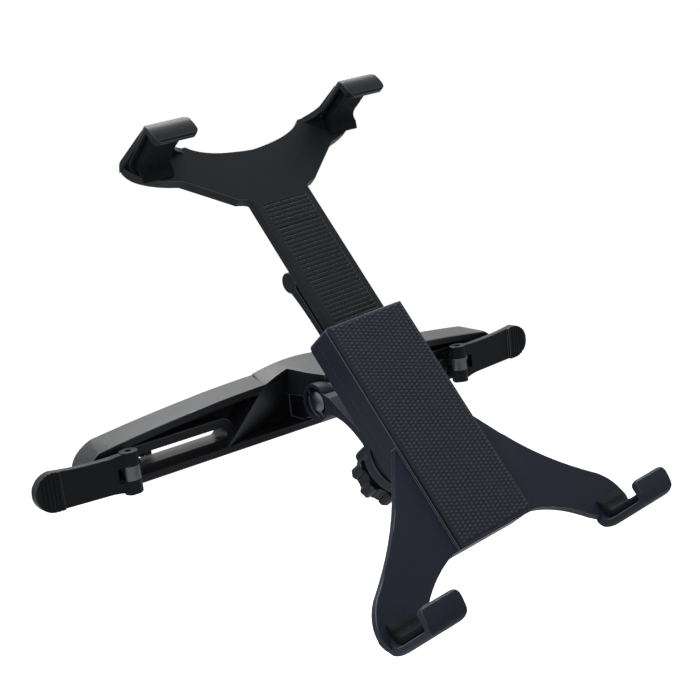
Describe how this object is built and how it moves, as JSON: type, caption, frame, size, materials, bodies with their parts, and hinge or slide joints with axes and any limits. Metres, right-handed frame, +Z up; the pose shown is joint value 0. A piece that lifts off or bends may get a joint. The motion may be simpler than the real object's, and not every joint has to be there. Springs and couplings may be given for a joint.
{
  "type": "headrest tablet mount",
  "caption": "Clamp-on headrest mount for a tablet: slotted bar with lever clamps, tilting arm, turning cradle, sliding ribbed bracket with padded hooks",
  "frame": {"origin": "axis of the left headrest post at the height of the slots, 6 mm behind the bar", "axes": "+X along the bar to the right as seen by the passenger, +Y towards the seat back, +Z up"},
  "size_m": [0.2429, 0.161, 0.1797],
  "materials": {
    "satin_black": "satin moulded plastic",
    "gloss_black": "smooth moulded plastic, lightly glossy",
    "grip_rubber": "woven grip texture",
    "black_foam": "open foam",
    "dark_steel": "blackened",
    "plain_steel": "zinc plated"
  },
  "bodies": {
    "bar": {"mount_bar": "satin_black"},
    "left_clamp": {"left_slide_block": "satin_black"},
    "left_rod": {"left_clamp_bolt": "dark_steel", "left_jaw": "satin_black", "left_jaw_liner": "black_foam", "left_jaw_nut": "plain_steel"},
    "left_lever": {"left_clamp_lever": "gloss_black", "left_lever_pin": "dark_steel"},
    "right_clamp": {"right_slide_block": "satin_black"},
    "right_rod": {"right_clamp_bolt": "dark_steel", "right_jaw": "satin_black", "right_jaw_liner": "black_foam", "right_jaw_nut": "plain_steel"},
    "right_lever": {"right_clamp_lever": "gloss_black", "right_lever_pin": "dark_steel"},
    "arm": {"tilt_arm": "satin_black", "tilt_screw": "dark_steel", "tilt_nut": "plain_steel", "turn_washer": "plain_steel"},
    "knob": {"turn_knob": "satin_black", "turn_screw": "plain_steel"},
    "cradle": {"cradle_body": "gloss_black", "rear_cover": "satin_black", "grip_pad": "grip_rubber", "cover_screws": "dark_steel", "lower_left_liner": "black_foam", "lower_right_liner": "black_foam", "turn_nut": "plain_steel", "release_pin": "plain_steel", "release_spring": "plain_steel"},
    "bracket": {"upper_bracket": "gloss_black", "upper_left_liner": "black_foam", "upper_right_liner": "black_foam"},
    "release": {"release_lever": "gloss_black", "brake_shoe": "black_foam"}
  },
  "joints": [
    {"name": "left_clamp_slide", "type": "slide", "parent": "bar", "child": "left_clamp", "axis": [1, 0, 0], "range_m": [-0.0015, 0.037]},
    {"name": "left_jaw_slide", "type": "slide", "parent": "left_clamp", "child": "left_rod", "axis": [0, 1, 0], "range_m": [0, 0.00118]},
    {"name": "left_lever_swing", "type": "hinge", "parent": "left_rod", "child": "left_lever", "pos_m": [-0.0115, -0.02448, 0], "axis": [0, 0, 1], "range_deg": [0, 80]},
    {"name": "right_clamp_slide", "type": "slide", "parent": "bar", "child": "right_clamp", "axis": [1, 0, 0], "range_m": [-0.025, 0.013]},
    {"name": "right_jaw_slide", "type": "slide", "parent": "right_clamp", "child": "right_rod", "axis": [0, 1, 0], "range_m": [0, 0.00118]},
    {"name": "right_lever_swing", "type": "hinge", "parent": "right_rod", "child": "right_lever", "pos_m": [0.1534, -0.02448, 0], "axis": [0, 0, 1], "range_deg": [-80, 0]},
    {"name": "arm_tilt", "type": "hinge", "parent": "bar", "child": "arm", "pos_m": [0.07725, -0.0345, 0.0067], "axis": [1, 0, 0], "range_deg": [-43, 41]},
    {"name": "knob_turn", "type": "hinge", "parent": "arm", "child": "knob", "pos_m": [0.07725, -0.05656, -0.023], "axis": [0, 0.8028, -0.5962], "continuous": true},
    {"name": "cradle_turn", "type": "hinge", "parent": "arm", "child": "cradle", "pos_m": [0.07725, -0.05656, -0.023], "axis": [0, 0.8028, -0.5962], "continuous": true},
    {"name": "bracket_slide", "type": "slide", "parent": "cradle", "child": "bracket", "axis": [-0.075, 0.5945, 0.8006], "range_m": [-0.057, 0.006]},
    {"name": "release_press", "type": "hinge", "parent": "cradle", "child": "release", "pos_m": [0.07406, -0.05692, 0.03018], "axis": [0.9972, 0.0447, 0.0602], "range_deg": [0, 3.5], "stiffness_Nm_per_rad": 0.3, "springref_deg": -5.73, "deforming": ["release_spring"]}
  ],
  "couplings": [
    {"joint": "left_lever_swing", "follows": "left_jaw_slide", "rad_per_m": 1184.3},
    {"joint": "right_lever_swing", "follows": "right_jaw_slide", "rad_per_m": -1184.3}
  ]
}
